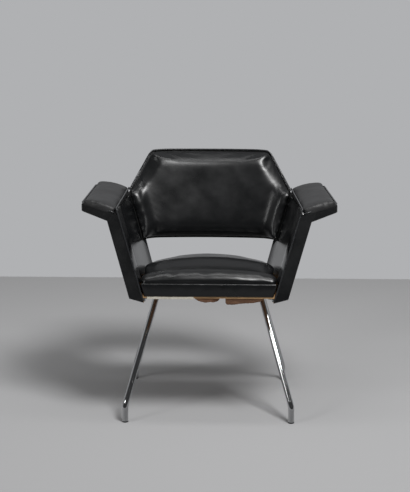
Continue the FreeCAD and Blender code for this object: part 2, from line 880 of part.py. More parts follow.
def pad_back(run, height):
    return ply_inside + size("soft_gap")


def pad_front(run, height):
    return pad_back(run, height) + pad_depth(run, height)


def foam_front(run, height):
    return pad_front(run, height) - thin_cover


def behind_pad(run, height):
    return ply_outside


back_wood = back_panel(ply_outside, ply_inside, size("skin_thickness"))
back_cover_panel = back_panel(0, ply_inside, 0).cut(back_panel(ply_outside, 2 * ply_inside, size("skin_thickness")))
left_strap = strap.mirror(Vector(), Vector(1, 0, 0))
left_holes = [hole.mirror(Vector(), Vector(1, 0, 0)) for hole in strap_holes]
add_single("back_cover", largest(back_cover_panel))
add_single("back_shell", back_wood.cut([strap, left_strap] + strap_holes + left_holes))
add_pair("strap_screws", Part.makeCompound(strap_screws))
back_pad = pad_block(0, pad_back, pad_front)
back_foam = pad_block(thin_cover, pad_back, foam_front)
back_hollow = pad_block(thin_cover, behind_pad, foam_front)
wood_room = back_panel(0, ply_inside + size("soft_gap"), -cord)
add_single("back_foam", largest(back_foam.cut(wood_room)))

cord_out = cord + 0.2
cord_heights = (
    shoulder_height() + 4, back_top - 112, back_top - 92, back_top - 70, back_top - 50, back_top - 30,
    back_top - 13, back_top - 4, back_top - 0.8,
)
side_run = []
for height in cord_heights:
    x = outline_x(height)
    outward = 1 if height < back_top - 14 else 0.7
    lift = 0 if height < back_top - 14 else 1.6
    seam_x = corner_point(height, ply_inside, 0).x - 2 * cord
    y = back_y(min(x, seam_x), height, ply_inside + size("back_pad_edge") / 2)
    side_run.append(Vector(x + cord_out * outward + 0.4, y, height + lift))
top_run = []
for part in (0.85, 0.6, 0.3, 0):
    x = outline_x(back_top) * part
    y = back_y(x, back_top, ply_inside + size("back_pad_edge") / 2)
    top_run.append(Vector(x, y, back_top + cord_out))
half_run = side_run + top_run
back_piping = cord_along(half_run + [mirrored(point) for point in half_run[-2::-1]], 20)
add_single("back_piping", back_piping)
add_single("back_pad_cover", largest(back_pad.cut(back_hollow).cut(wood_room).cut(back_piping)))

# The seat cushion, in sections from front to rear.

cushion_foot = rail_top + size("soft_gap")
cushion_top = rail_top + size("cushion_thickness")
middle_top = cushion_top - 3
wide = size("cushion_half_width")
narrow = size("cushion_rear_half_width")
foot_wide = wide - 13.5
crown = size("cushion_crown")
rear_drop = size("cushion_rear_drop")
cushion_front = -size("shell_front") + size("board_setback") - 2
cushion_sections = (
    # y, half width at the foot, half width at the top, height at the side, height in the middle
    (cushion_front, foot_wide, wide - 4, cushion_top - 15, cushion_top - 5),
    (cushion_front + 12, foot_wide, wide, cushion_top - 4, cushion_top + 8),
    (-215, foot_wide, wide, cushion_top, cushion_top + crown - 3),
    (-70, foot_wide + 4, wide + 5, middle_top, middle_top + crown + 4),
    (50, foot_wide - 5, narrow + 13, middle_top - 12, middle_top + crown - 5),
    (104, narrow - 7, narrow + 2, cushion_top - rear_drop, cushion_top + 1),
    (size("cushion_rear"), narrow - 16, narrow - 10, cushion_top - rear_drop - 10, cushion_top - 13),
)


def cushion_section(y, foot_x, top_x, side_height, middle_height, cover, drop):
    shoulder = 10
    foot = cushion_foot - drop
    foot_x, top_x = foot_x - cover, top_x - cover
    side_height, middle_height = side_height - cover, middle_height - cover
    side_low = Vector(top_x, y, side_height - shoulder)
    side_mid = Vector(top_x - shoulder * 0.3, y, side_height - shoulder * 0.28)
    side_top = Vector(top_x - shoulder, y, side_height)
    left_low, left_mid, left_top = [mirrored(point) for point in (side_low, side_mid, side_top)]
    return chain(
        (Vector(-foot_x, y, foot), Vector(foot_x, y, foot)), (Vector(foot_x, y, foot), side_low),
        (side_low, side_mid, side_top), (side_top, Vector(0, y, middle_height), left_top),
        (left_top, left_mid, left_low), (left_low, Vector(-foot_x, y, foot)),
    )


def cushion(cover, drop):
    wires = []
    for index, (y, *others) in enumerate(cushion_sections):
        if index == 0:
            y += cover
        if index == len(cushion_sections) - 1:
            y -= cover
        wires.append(cushion_section(y, *others, cover, drop))
    return Part.makeLoft(wires, True, False)


lip_low = size("board_height") + size("cushion_lip")
lip = Part.makeBox(
    2 * foot_wide, thin_cover, cushion_foot + 6 - lip_low, Vector(-foot_wide, cushion_front, lip_low),
)
add_single("seat_foam", cushion(thin_cover, 0))
add_single("seat_cover", cushion(0, 0).fuse(lip).cut(cushion(thin_cover, 5)))

# Everything below is made with sketches, whose corners and holes are bound to the sizes.


def origin_plane(body, role):
    for feature in body.Origin.OriginFeatures:
        if feature.Role == role:
            return feature


def pin_point(sketch, geometry, corner, across, up):
    # binds one point's two coordinates to expressions
    for kind, expression in (("DistanceX", across), ("DistanceY", up)):
        value = float(sketch.evalExpression(expression))
        constraint = sketch.addConstraint(Sketcher.Constraint(kind, -1, 1, geometry, corner, value))
        sketch.setExpression("Constraints[%d]" % constraint, expression)


def add_sketch(body, name, role, corners=(), circles=()):
    sketch = body.newObject("Sketcher::SketchObject", name)
    sketch.AttachmentSupport = (origin_plane(body, role), [""])
    sketch.MapMode = "FlatFace"
    places = [
        Vector(float(sketch.evalExpression(across)), float(sketch.evalExpression(up)), 0)
        for across, up in corners
    ]
    count = len(places)
    for index in range(count):
        sketch.addGeometry(Part.LineSegment(places[index], places[(index + 1) % count]))
    for index in range(count):
        sketch.addConstraint(Sketcher.Constraint("Coincident", index, 2, (index + 1) % count, 1))
    for index, (across, up) in enumerate(corners):
        pin_point(sketch, index, 1, across, up)
    for across, up, radius in circles:
        place = Vector(float(sketch.evalExpression(across)), float(sketch.evalExpression(up)), 0)
        round_size = float(sketch.evalExpression(radius))
        index = sketch.addGeometry(Part.Circle(place, Vector(0, 0, 1), round_size))
        pin_point(sketch, index, 3, across, up)
        constraint = sketch.addConstraint(Sketcher.Constraint("Radius", index, round_size))
        sketch.setExpression("Constraints[%d]" % constraint, radius)
    return sketch


def add_body(label):
    body = document.addObject("PartDesign::Body", label)
    body.Label = label
    return body


def add_pad(body, name, profile, length):
    pad = body.newObject("PartDesign::Pad", name)
    pad.Profile = profile
    pad.setExpression("Length", length)
    document.recompute()
    return pad


wall_slant = "sqrt(1 + tan(Sizes.side_toe * 1deg)^2 + tan(Sizes.side_lean * 1deg)^2)"
under_board = "Sizes.board_height - Sizes.dust_cover_thickness"


def between_rails(y, rail_thickness, margin):
    return (
        "Sizes.shell_half_width - (%s + Sizes.shell_front) * tan(Sizes.side_toe * 1deg)"
        " - (Sizes.skin_thickness + Sizes.ply_thickness + %s) * %s - %s"
        % (y, rail_thickness, wall_slant, margin)
    )


board_front = "-Sizes.shell_front + Sizes.board_setback"
front_half = between_rails("(%s)" % board_front, "Sizes.rail_front_thickness", "Sizes.soft_gap")
rear_half = between_rails("Sizes.board_rear", "Sizes.rail_rear_thickness", "Sizes.soft_gap")
board_corners = (
    ("-(%s)" % front_half, board_front), (front_half, board_front),
    (rear_half, "Sizes.board_rear"), ("-(%s)" % rear_half, "Sizes.board_rear"),
)
plate_outer = "Sizes.leg_top_half_width + Sizes.plate_margin"
plate_inner = plate_outer + " - Sizes.plate_width"
plate_screws = (
    (plate_inner + " + 12", "-Sizes.plate_front + 14"),
    (plate_inner + " + 12", "(Sizes.plate_rear - Sizes.plate_front) / 2"),
    (plate_inner + " + 12", "Sizes.plate_rear - 14"),
    (plate_outer + " - 10", "(Sizes.plate_rear - Sizes.plate_front) / 2"),
)
screw_clear = "Sizes.screw_radius + Sizes.hole_gap"
screw_circles = []
for across, up in plate_screws:
    screw_circles.append((across, up, screw_clear))
    screw_circles.append(("-(%s)" % across, up, screw_clear))
bracket_x = "Sizes.shell_half_width - 51"
bracket_y = "-Sizes.shell_front + 20"
bracket_circles = [(bracket_x, bracket_y, screw_clear), ("-(%s)" % bracket_x, bracket_y, screw_clear)]
tack_clear = "Sizes.tack_shank_radius + Sizes.hole_gap"
strip_middle = "%s + Sizes.tack_strip_width / 2 + 2" % board_front
tack_places = [(x, strip_middle) for x in ("-160", "-132", "-104", "-14", "40", "78", "142")]
tack_places += [(x, y) for y in ("-200", "-120", "0") for x in ("-168", "168")]
tack_places += [("-60", "104"), ("60", "104")]
tack_circles = [(across, up, tack_clear) for across, up in tack_places]

board = add_body("seat_board")
board.setExpression(".Placement.Base.z", "Sizes.board_height")
board_sketch = add_sketch(board, "BoardOutline", "XY_Plane", board_corners)
add_pad(board, "BoardPad", board_sketch, "Sizes.board_thickness")
solid_board = board.Shape.Volume
hole_sketch = add_sketch(
    board, "BoardHoles", "XY_Plane", circles=screw_circles + bracket_circles + tack_circles,
)
holes = board.newObject("PartDesign::Pocket", "BoardPocket")
holes.Profile = hole_sketch
holes.Reversed = True
holes.setExpression("Length", "Sizes.board_thickness - 1.5")
document.recompute()
if board.Shape.Volume > solid_board - 100:
    raise ValueError("the holes miss the board")
pieces.append(board)

plate = add_body("leg_plate_right")
plate.setExpression(".Placement.Base.z", "%s - Sizes.plate_thickness" % under_board)
plate_corners = (
    (plate_inner, "-Sizes.plate_front"), (plate_outer, "-Sizes.plate_front"),
    (plate_outer, "Sizes.plate_rear"), (plate_inner, "Sizes.plate_rear"),
)
plate_sketch = add_sketch(plate, "PlateOutline", "XY_Plane", plate_corners, screw_circles[::2])
add_pad(plate, "PlatePad", plate_sketch, "Sizes.plate_thickness")
pieces.append(plate)
add_mirror(plate)

dust_half = [edge.replace("Sizes.soft_gap", "3") for edge in (front_half, rear_half)]
dust_front = board_front + " + 3"
dust_rear = "Sizes.board_rear - 2"
dust_corners = (
    ("-(%s)" % dust_half[0], dust_front), (dust_half[0], dust_front),
    (dust_half[1], dust_rear), ("-(%s)" % dust_half[1], dust_rear),
)
dust = add_body("DustSheet")
dust.setExpression(".Placement.Base.z", under_board)
dust_sketch = add_sketch(
    dust, "DustOutline", "XY_Plane", dust_corners, screw_circles + bracket_circles + tack_circles,
)
add_pad(dust, "DustPad", dust_sketch, "Sizes.dust_cover_thickness")

strip = add_body("tack_strip")
strip.setExpression(".Placement.Base.z", "%s - Sizes.tack_strip_thickness" % under_board)
strip_front = board_front + " + 2"
strip_rear = strip_front + " + Sizes.tack_strip_width"
strip_corners = (("-178", strip_front), ("-92", strip_front), ("-88", strip_rear), ("-178", strip_rear))
strip_sketch = add_sketch(strip, "StripOutline", "XY_Plane", strip_corners, tack_circles[:3])
add_pad(strip, "StripPad", strip_sketch, "Sizes.tack_strip_thickness")
fold_front = board_front + " - Sizes.tack_strip_thickness"
fold_corners = (("-178", fold_front), ("-44", fold_front), ("-44", board_front), ("-178", board_front))
fold_sketch = add_sketch(strip, "StripFoldOutline", "XY_Plane", fold_corners)
add_pad(strip, "StripFoldPad", fold_sketch, "Sizes.tack_strip_fold")
hem_corners = (("-178", fold_front), ("-92", fold_front), ("-92", strip_front), ("-178", strip_front))
hem_sketch = add_sketch(strip, "StripHemOutline", "XY_Plane", hem_corners)
add_pad(strip, "StripHemPad", hem_sketch, "Sizes.tack_strip_thickness")
pieces.append(strip)

plate_low = size("board_height") - size("dust_cover_thickness") - size("plate_thickness")
reader = board_sketch


def value(expression):
    return float(reader.evalExpression(expression))


# Torn flaps hang from the front of the dust cover.

dust_low = size("board_height") - size("dust_cover_thickness")
flap_outlines = (
    ((-42, 0), (32, 0), (27, -9), (14, -14), (4, -12), (-10, -15), (-30, -10)),
    ((46, 0), (158, 0), (152, -10), (130, -15), (106, -17), (86, -19), (66, -22), (52, -21), (47, -12)),
)
flap_front = value(dust_front)
flaps = []
for outline in flap_outlines:
    points = [Vector(x, flap_front - drop * 0.35, dust_low + 0.5 + drop) for x, drop in outline]
    flaps.append(prism(points, Vector(0, 1, 0)))
add_single("dust_cover", dust.Shape.fuse(flaps).removeSplitter())

up = Vector(0, 0, 1)
screws = []
for across, along, radius in screw_circles:
    seat = Vector(value(across), value(along), plate_low)
    screws.append(pan_screw(seat, up, size("plate_thickness") + size("board_thickness") - 1))
add_single("plate_screws", Part.makeCompound(screws))

tacks = []
for index, (across, along) in enumerate(tack_places):
    under = dust_low - (size("tack_strip_thickness") if index < 3 else 0)
    seat = Vector(value(across), value(along), under)
    head = Part.makeCone(size("tack_radius"), 1, size("tack_head_height"), seat, -up)
    tacks.append(head.fuse(pin(seat, up, size("tack_shank_radius"), size("tack_length"))))
add_single("dust_cover_tacks", Part.makeCompound(tacks))

# A small angle bracket under each front corner, with one screw up and one into the rail.

bracket_seat = Vector(value(bracket_x), value(bracket_y), dust_low - size("bracket_thickness"))
thin = size("bracket_thickness")
half_width = size("bracket_width") / 2


def rail_face(height, inset):
    return side_point(bracket_seat.y, height, rail_inside(bracket_seat.y) + inset)


drop_low = dust_low - size("bracket_drop")
off = size("bracket_gap")
inner_edge = rail_face(dust_low, off) - Vector(size("bracket_foot"), 0, 0)
bracket_outline = [
    rail_face(dust_low, off), rail_face(drop_low, off), rail_face(drop_low, off + thin),
    rail_face(dust_low - thin, off + thin),
    Vector(inner_edge.x, inner_edge.y, dust_low - thin), inner_edge,
]
bracket = prism([point - along_side * half_width for point in bracket_outline], along_side * 2 * half_width)
drop_seat = rail_face((dust_low + drop_low) / 2 - 1, off + thin) - along_side * half_width / 2
bracket_length = size("bracket_screw_length")
bracket_holes = [
    screw_hole(bracket_seat, up, bracket_length), screw_hole(drop_seat, out_of_side, bracket_length),
]
add_pair("side_rail", rail.cut(bolt_holes + bracket_holes).cut(side_piping))
add_pair("corner_bracket", bracket.cut(bracket_holes))
add_pair("bracket_screws", Part.makeCompound([
    pan_screw(bracket_seat, up, bracket_length),
    pan_screw(drop_seat, out_of_side, bracket_length),
]))

# Legs: a tube that stands upright on its glide and then slopes in to the plate.


def add_leg(label, foot_y, dx, dy):
    body = add_body(label.title().replace("_", "") + "Tube")
    body.Placement = FreeCAD.Placement(Vector(), FreeCAD.Rotation(up, 1))
    body.setExpression(".Placement.Base.x", "Sizes.foot_half_width")
    body.setExpression(".Placement.Base.y", foot_y)
    body.setExpression(".Placement.Rotation.Angle", "atan2(%s; %s)" % (dy, dx))
    reach = "sqrt((%s)^2 + (%s)^2)" % (dx, dy)
    top = "%s - Sizes.plate_thickness" % under_board
    path = add_sketch(body, label + "_path", "XZ_Plane")
    across, high = float(path.evalExpression(reach)), float(path.evalExpression(top))
    start, knee, radius = size("glide_height"), size("upright_foot"), size("tube_bend_radius")
    low_tilt, high_tilt = 0.0, math.pi / 2
    for turn in range(40):
        tilt = (low_tilt + high_tilt) / 2
        bend_end = Vector(radius - radius * math.cos(tilt), knee + radius * math.sin(tilt), 0)
        miss = (across - bend_end.x) * math.cos(tilt) - (high - bend_end.y) * math.sin(tilt)
        if miss > 0:
            low_tilt = tilt
        else:
            high_tilt = tilt
    end = Vector(across, high, 0) + Vector(math.sin(tilt), math.cos(tilt), 0) * 20
    path.addGeometry(Part.LineSegment(Vector(0, start, 0), Vector(0, knee, 0)))
    circle = Part.Circle(Vector(radius, knee, 0), Vector(0, 0, 1), radius)
    path.addGeometry(Part.ArcOfCircle(circle, math.pi - tilt, math.pi))
    path.addGeometry(Part.LineSegment(bend_end, end))
    path.addGeometry(Part.Point(Vector(across, high, 0)), True)
    pin_point(path, 0, 1, "0", "Sizes.glide_height")
    path.addConstraint(Sketcher.Constraint("Vertical", 0))
    path.addConstraint(Sketcher.Constraint("Tangent", 0, 2, 1, 2))
    path.addConstraint(Sketcher.Constraint("Tangent", 1, 1, 2, 1))
    bend = path.addConstraint(Sketcher.Constraint("Radius", 1, radius))
    path.setExpression("Constraints[%d]" % bend, "Sizes.tube_bend_radius")
    height = path.addConstraint(Sketcher.Constraint("DistanceY", -1, 1, 0, 2, knee))
    path.setExpression("Constraints[%d]" % height, "Sizes.upright_foot")
    pin_point(path, 3, 1, reach, top)
    path.addConstraint(Sketcher.Constraint("PointOnObject", 3, 1, 2))
    end_height = path.addConstraint(Sketcher.Constraint("DistanceY", -1, 1, 2, 2, end.y))
    path.setExpression("Constraints[%d]" % end_height, "%s + Sizes.tube_radius * 1.5" % top)
    section = add_sketch(body, label + "_section", "XY_Plane", circles=(
        ("0", "0", "Sizes.tube_radius"), ("0", "0", "Sizes.tube_radius - Sizes.tube_wall"),
    ))
    section.setExpression(".AttachmentOffset.Base.z", "Sizes.glide_height")
    document.recompute()
    tube = body.newObject("PartDesign::AdditivePipe", label + "_sweep")
    tube.Profile = section
    tube.Spine = path
    above = document.addObject("Part::Box", label + "_above")
    above.Length = above.Width = 4 * beyond
    above.Height = beyond
    above.setExpression(".Placement.Base.x", "Sizes.leg_top_half_width - %d" % (2 * beyond))
    above.setExpression(".Placement.Base.y", "%s + (%s) - %d" % (foot_y, dy, 2 * beyond))
    above.setExpression(".Placement.Base.z", top)
    leg = document.addObject("Part::Cut", label)
    leg.Label = label
    leg.Base = body
    leg.Tool = above
    document.recompute()
    pieces.append(leg)
    add_mirror(leg)


def add_glide(label, foot_y):
    glide = add_body(label)
    glide.setExpression(".Placement.Base.x", "Sizes.foot_half_width")
    glide.setExpression(".Placement.Base.y", foot_y)
    stem = "Sizes.tube_radius - Sizes.tube_wall - Sizes.glide_gap"
    profile = add_sketch(glide, label + "_profile", "XZ_Plane", (
        ("0", "0"), ("Sizes.tube_radius - 1", "0"), ("Sizes.tube_radius", "1"),
        ("Sizes.tube_radius", "Sizes.glide_height"), (stem, "Sizes.glide_height"),
        (stem, "Sizes.glide_height + Sizes.glide_stem"), ("0", "Sizes.glide_height + Sizes.glide_stem"),
    ))
    turned = glide.newObject("PartDesign::Revolution", label + "_turned")
    turned.Profile = profile
    turned.ReferenceAxis = (profile, ["V_Axis"])
    turned.Angle = 360
    document.recompute()
    pieces.append(glide)
    add_mirror(glide)


leg_dx = "(Sizes.leg_top_half_width - Sizes.foot_half_width)"
add_leg("front_leg_right", "-Sizes.front_foot", leg_dx, "(Sizes.front_foot - Sizes.front_leg_top)")
add_leg("rear_leg_right", "Sizes.rear_foot", leg_dx, "(Sizes.rear_leg_top - Sizes.rear_foot)")
add_glide("front_glide_right", "-Sizes.front_foot")
add_glide("rear_glide_right", "Sizes.rear_foot")

document.recompute()
for item in document.Objects:
    if "Invalid" in item.State or "Error" in item.State:
        raise ValueError("%s failed to build" % item.Label)
for piece in pieces:
    if piece.Shape.isNull() or not piece.Shape.isValid():
        raise ValueError("%s has no valid shape" % piece.Label)

os.makedirs("parts", exist_ok=True)
for piece in pieces:
    print(piece.Label, len(piece.Shape.Solids), round(piece.Shape.Volume))
    piece.Shape.exportStep("parts/%s.step" % piece.Label)
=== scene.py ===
import bpy
import bmesh
import json
import math
from mathutils import Vector, Matrix, noise


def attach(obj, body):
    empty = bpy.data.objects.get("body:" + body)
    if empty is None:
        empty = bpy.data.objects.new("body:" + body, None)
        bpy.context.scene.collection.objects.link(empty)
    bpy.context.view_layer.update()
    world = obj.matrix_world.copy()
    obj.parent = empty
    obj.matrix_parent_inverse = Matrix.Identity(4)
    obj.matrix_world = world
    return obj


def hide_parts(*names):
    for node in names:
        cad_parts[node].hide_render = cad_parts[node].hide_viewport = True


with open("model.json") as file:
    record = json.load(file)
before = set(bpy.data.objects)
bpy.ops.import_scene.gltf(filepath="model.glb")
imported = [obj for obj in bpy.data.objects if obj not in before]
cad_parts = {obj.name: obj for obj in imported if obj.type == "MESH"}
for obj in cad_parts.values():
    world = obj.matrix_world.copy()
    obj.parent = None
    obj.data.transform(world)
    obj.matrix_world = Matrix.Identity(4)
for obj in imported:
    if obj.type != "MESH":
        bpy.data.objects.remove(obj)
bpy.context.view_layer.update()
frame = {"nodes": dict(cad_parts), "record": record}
nodes = frame["nodes"]
scene = bpy.context.scene
print("frame loaded")


camera = {
    "place": (0.017, -3.463, 1.085),
    "lens": 83.3,  # mm, on a 36 mm sensor along the long side
    "pitch": 9.77,  # degrees down
    "yaw": 0.51,
    "roll": 0.29,
}
cameraData = bpy.data.cameras.new("camera")
cameraData.lens = camera["lens"]
cameraData.clip_end = 50
cameraObject = bpy.data.objects.new("camera", cameraData)
scene.collection.objects.link(cameraObject)
scene.camera = cameraObject
cameraObject.matrix_world = (
    Matrix.Translation(camera["place"])
    @ Matrix.Rotation(math.radians(camera["yaw"]), 4, "Z")
    @ Matrix.Rotation(math.radians(90 - camera["pitch"]), 4, "X")
    @ Matrix.Rotation(math.radians(camera["roll"]), 4, "Z")
)

lamps = {
    "keyLamp": {"place": (1.01, -1.93, 3.21), "aim": (0, 0, 0.5), "width": 1.0, "depth": 1.0, "power": 105},
    "topLamp": {"place": (0, -0.35, 3.3), "aim": (0, 0, 0.4), "width": 2.6, "depth": 0.4, "power": 20},
    "sideLamp": {"place": (-2.6, -2.3, 2.2), "aim": (0, 0, 0.5), "width": 0.8, "depth": 0.8, "power": 16},
}
for lampName, lamp in lamps.items():
    lampData = bpy.data.lights.new(lampName, "AREA")
    lampData.shape = "RECTANGLE"
    lampData.size = lamp["width"]
    lampData.size_y = lamp["depth"]
    lampData.energy = lamp["power"]
    lampObject = bpy.data.objects.new(lampName, lampData)
    lampObject.location = lamp["place"]
    aim = Vector(lamp["aim"]) - Vector(lamp["place"])
    lampObject.rotation_euler = aim.to_track_quat("-Z", "Y").to_euler()
    scene.collection.objects.link(lampObject)
scene.view_settings.view_transform = "Standard"


def linearColor(code):
    # an sRGB code as linear light
    channels = []
    for start in (1, 3, 5):
        value = int(code[start:start + 2], 16) / 255
        channels.append(value / 12.92 if value <= 0.04045 else ((value + 0.055) / 1.055) ** 2.4)
    return (*channels, 1.0)


def addNode(tree, kind, settings=None, links=None):
    # a number as key is an input socket's place in Blender's own order
    node = tree.nodes.new(kind)
    for key, value in (settings or {}).items():
        if isinstance(key, int) or key in node.inputs:
            node.inputs[key].default_value = value
        else:
            setattr(node, key, value)
    for key, source in (links or {}).items():
        tree.links.new(source, node.inputs[key])
    return node


room = {
    "wall": "#b0b1b3",  # what the camera and polished surfaces see all round
    "floor": "#a4a4a5",
    "dimSide": 0.10,  # how much of the wall's light comes from the front of the room
    "fill": 0.26,
    "floorEdge": 1.93,  # metres behind the origin, where the floor meets the wall
    "floorHalf": 6,  # half a side of the floor's square
}
world = bpy.data.worlds.new("room")
world.use_nodes = True
scene.world = world
tree = world.node_tree
tree.nodes.clear()
wayOut = addNode(tree, "ShaderNodeTexCoord").outputs["Generated"]
parts = addNode(tree, "ShaderNodeSeparateXYZ", links={0: wayOut})
behind = addNode(
    tree, "ShaderNodeMapRange",
    {"interpolation_type": "SMOOTHSTEP", 1: -0.25, 2: 0.55, 3: room["dimSide"], 4: 1.0},
    {0: parts.outputs["Y"]},
)
rays = addNode(tree, "ShaderNodeLightPath")
polished = addNode(
    tree, "ShaderNodeMath", {"operation": "MAXIMUM"},
    {0: rays.outputs["Is Glossy Ray"], 1: rays.outputs["Is Transmission Ray"]},
)
wallColor = linearColor(room["wall"])
seen = addNode(tree, "ShaderNodeBackground", {"Color": wallColor, "Strength": 1.0})
mirrorRoom = addNode(tree, "ShaderNodeBackground", {"Color": wallColor}, {"Strength": behind.outputs[0]})
softFill = addNode(tree, "ShaderNodeBackground", {"Color": (1, 1, 1, 1), "Strength": room["fill"]})
firstMix = addNode(
    tree, "ShaderNodeMixShader",
    links={0: polished.outputs[0], 1: softFill.outputs[0], 2: mirrorRoom.outputs[0]},
)
secondMix = addNode(
    tree, "ShaderNodeMixShader",
    links={0: rays.outputs["Is Camera Ray"], 1: firstMix.outputs[0], 2: seen.outputs[0]},
)
addNode(tree, "ShaderNodeOutputWorld", links={0: secondMix.outputs[0]})


def newMaterial(name):
    material = bpy.data.materials.new(name)
    material.use_nodes = True
    material.node_tree.nodes.clear()
    return material, material.node_tree


def addPiece(name, mesh):
    piece = bpy.data.objects.new(name, mesh)
    scene.collection.objects.link(piece)
    return piece


# metres; corners nearer to each other than this become one
mergeDistance = {"cad": 0.00003, "piping": 0.00001, "cloth": 0.00002}


def shapeOf(mesh):
    shape = bmesh.new()
    shape.from_mesh(mesh)
    return shape


def writeShape(shape, mesh):
    shape.to_mesh(mesh)
    shape.free()


def meshOf(shape, name):
    mesh = bpy.data.meshes.new(name)
    writeShape(shape, mesh)
    return mesh


def smoothPoints(shape, points, turns):
    for turn in range(turns):
        bmesh.ops.smooth_vert(
            shape, verts=points, factor=0.5, use_axis_x=True, use_axis_y=True, use_axis_z=True,
        )


floorMaterial, tree = newMaterial("mattFloor")
floorShader = addNode(
    tree, "ShaderNodeBsdfDiffuse", {"Color": linearColor(room["floor"]), "Roughness": 1.0},
)
addNode(tree, "ShaderNodeOutputMaterial", links={0: floorShader.outputs[0]})
shape = bmesh.new()
bmesh.ops.create_grid(shape, x_segments=1, y_segments=1, size=room["floorHalf"])
bmesh.ops.translate(shape, verts=shape.verts, vec=(0, room["floorEdge"] - room["floorHalf"], 0))
floorMesh = meshOf(shape, "floor")
floorMesh.materials.append(floorMaterial)
floor = addPiece("floor", floorMesh)
print("camera, lamps and floor set")


def blendColors(tree, dark, pale, share):
    return addNode(
        tree, "ShaderNodeMix", {"data_type": "RGBA", 6: linearColor(dark), 7: linearColor(pale)}, {0: share},
    ).outputs[2]


def vinyl(name, look):
    # calendered upholstery vinyl: an even black skin with a pressed grain, polished by use in patches
    material, tree = newMaterial(name)
    place = addNode(tree, "ShaderNodeTexCoord").outputs["Object"]
    patches = addNode(
        tree, "ShaderNodeTexNoise", {"Scale": 1 / look["patch"], "Detail": 3.0}, {"Vector": place},
    )
    dust = addNode(
        tree, "ShaderNodeTexNoise", {"Scale": 1 / look["speck"], "Detail": 2.0}, {"Vector": place},
    )
    dusty = addNode(
        tree, "ShaderNodeMapRange", {1: 0.52, 2: 0.78, 3: 0.0, 4: look["dust"]}, {0: dust.outputs[0]},
    )
    worn = blendColors(tree, look["dark"], look["pale"], patches.outputs[0])
    dusted = addNode(
        tree, "ShaderNodeMix", {"data_type": "RGBA", 7: linearColor(look["dustColor"])},
        {0: dusty.outputs[0], 6: worn},
    )
    gloss = addNode(
        tree, "ShaderNodeMapRange", {1: 0.3, 2: 0.7, 3: look["smooth"], 4: look["rough"]},
        {0: patches.outputs[0]},
    )
    grain = addNode(tree, "ShaderNodeTexVoronoi", {"Scale": 1 / look["grain"]}, {"Vector": place})
    creases = addNode(
        tree, "ShaderNodeTexNoise", {"Scale": 1 / look["crease"], "Detail": 2.0, "Distortion": 0.6},
        {"Vector": place},
    )
    swell = addNode(
        tree, "ShaderNodeBump", {"Strength": look["creaseStrength"], "Distance": look["creaseDepth"]},
        {"Height": creases.outputs[0]},
    )
    bump = addNode(
        tree, "ShaderNodeBump", {"Strength": look["grainStrength"], "Distance": look["grainDepth"]},
        {"Height": grain.outputs["Distance"], "Normal": swell.outputs[0]},
    )
    shader = addNode(
        tree, "ShaderNodeBsdfPrincipled", {"IOR": 1.5, "Specular IOR Level": look["shine"]},
        {"Base Color": dusted.outputs[2], "Roughness": gloss.outputs[0], "Normal": bump.outputs[0]},
    )
    addNode(tree, "ShaderNodeOutputMaterial", links={0: shader.outputs[0]})
    return material


# lengths in metres; the real grain is under 1 mm, and is drawn at about 3 mm so that it shows
plainVinyl = {
    "dark": "#08090a", "pale": "#101113", "dustColor": "#3a3a38", "dust": 0.05,
    "patch": 0.07, "speck": 0.011, "smooth": 0.24, "rough": 0.40, "shine": 0.5,
    "grain": 0.0028, "grainStrength": 0.10, "grainDepth": 0.0004,
    "crease": 0.06, "creaseStrength": 0.12, "creaseDepth": 0.002,
}
backVinyl = vinyl("glossyBackVinyl", {
    **plainVinyl, "smooth": 0.27, "rough": 0.38, "crease": 0.07, "creaseStrength": 0.16,
})
seatVinyl = vinyl("glossySeatVinyl", {**plainVinyl, "creaseStrength": 0.08, "smooth": 0.26, "rough": 0.34})
bolsterVinyl = vinyl("glossyInsideVinyl", {
    **plainVinyl, "creaseStrength": 0.05, "smooth": 0.14, "rough": 0.22, "shine": 0.9,
})
outerVinyl = vinyl("glossyOutsideVinyl", {**plainVinyl, "creaseStrength": 0.08, "dust": 0.1})
armVinyl = vinyl("dulledArmVinyl", {
    **plainVinyl, "dark": "#19191a", "pale": "#232324", "smooth": 0.46, "rough": 0.58, "creaseStrength": 0.06,
    "dust": 0.15,
})
facingVinyl = vinyl("pebbledFacingVinyl", {
    **plainVinyl, "grain": 0.0042, "grainStrength": 0.30, "grainDepth": 0.0009, "smooth": 0.32, "rough": 0.5,
    "dust": 0.14, "speck": 0.006, "creaseStrength": 0.05, "shine": 0.4,
})
pipingVinyl = vinyl("rubbedPipingVinyl", {
    **plainVinyl, "dark": "#1b1c1e", "pale": "#2b2c2e", "grain": 0.0016, "smooth": 0.22, "rough": 0.34,
    "creaseStrength": 0.1, "patch": 0.02,
})


